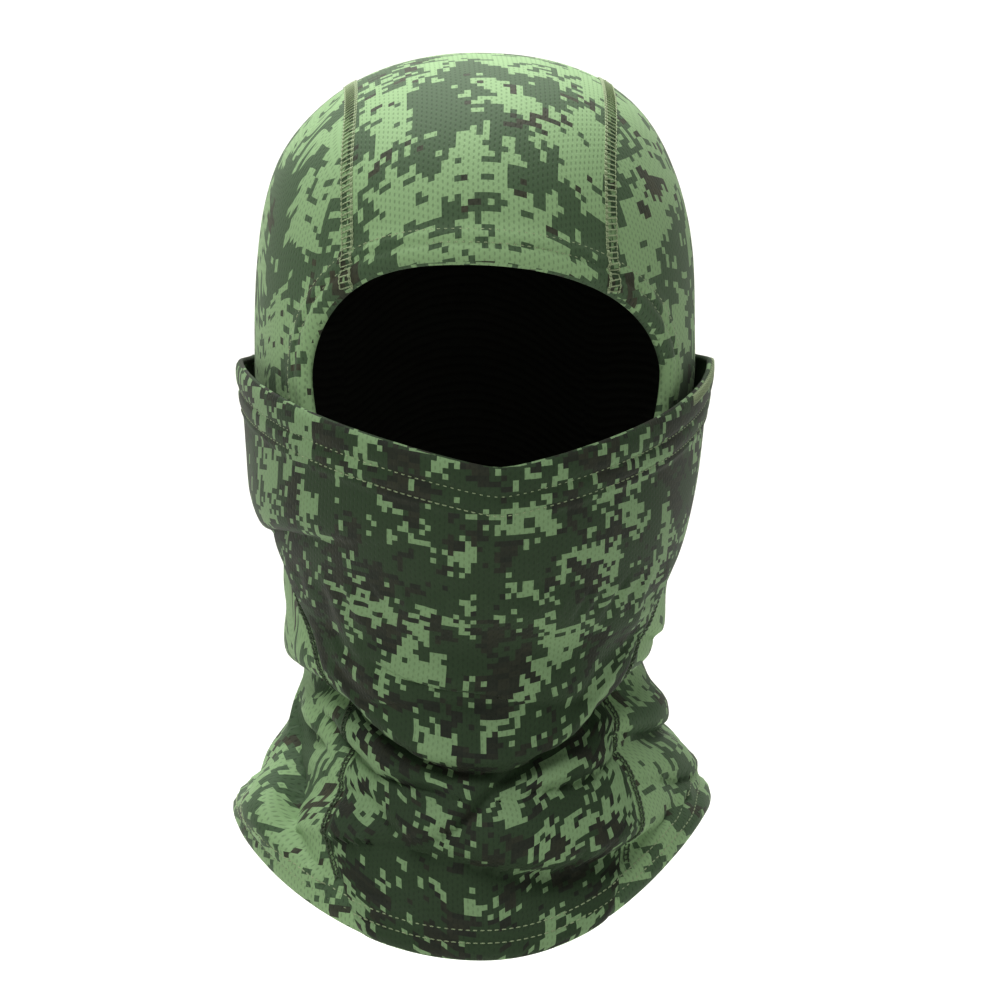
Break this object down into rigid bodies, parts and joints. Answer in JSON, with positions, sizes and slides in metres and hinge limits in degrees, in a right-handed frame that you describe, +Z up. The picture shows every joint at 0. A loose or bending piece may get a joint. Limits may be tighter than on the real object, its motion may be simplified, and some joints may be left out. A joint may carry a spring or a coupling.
{
  "type": "camouflage face mask",
  "caption": "Pull-on knitted hood in digital camouflage with a hemmed face opening, a flared neck skirt and an outer nose-and-mouth panel that pulls down under the chin.",
  "frame": {"origin": "on the line through both ear openings, midway between them, level with the rear top corners of the mask", "axes": "+Z up through the crown, -Y out through the face opening, +X towards the wearer's left"},
  "size_m": [0.179, 0.2133, 0.319],
  "materials": {
    "hood_knit": null,
    "mask_knit": "the same printed knit, outer panel",
    "inner_knit": "unprinted dark inner face of the knit",
    "sewing_thread": "grey-green sewing thread, in flatlock bands and twin-needle rows"
  },
  "bodies": {
    "hood": {"crown_panel": "hood_knit", "side_panel_left": "hood_knit", "side_panel_right": "hood_knit", "chin_panel": "inner_knit", "face_hem": "hood_knit", "face_hem_stitch_inner": "sewing_thread", "face_hem_stitch_outer": "sewing_thread", "crown_seam_left": "sewing_thread", "crown_seam_right": "sewing_thread", "bib_panel": "mask_knit", "bib_seam_left": "sewing_thread", "bib_seam_right": "sewing_thread", "bottom_hem": "hood_knit", "bottom_hem_stitch_lower": "sewing_thread", "bottom_hem_stitch_upper": "sewing_thread", "mask_side_seam_left": "sewing_thread", "mask_side_seam_right": "sewing_thread"},
    "mask": {"mask_panel": "mask_knit", "mask_hem": "mask_knit", "mask_hem_stitch_upper": "sewing_thread", "mask_hem_stitch_lower": "sewing_thread"}
  },
  "joints": [
    {"name": "mask_pull_down", "type": "slide", "parent": "hood", "child": "mask", "axis": [0, 0, -1], "range_m": [0, 0.06]}
  ]
}
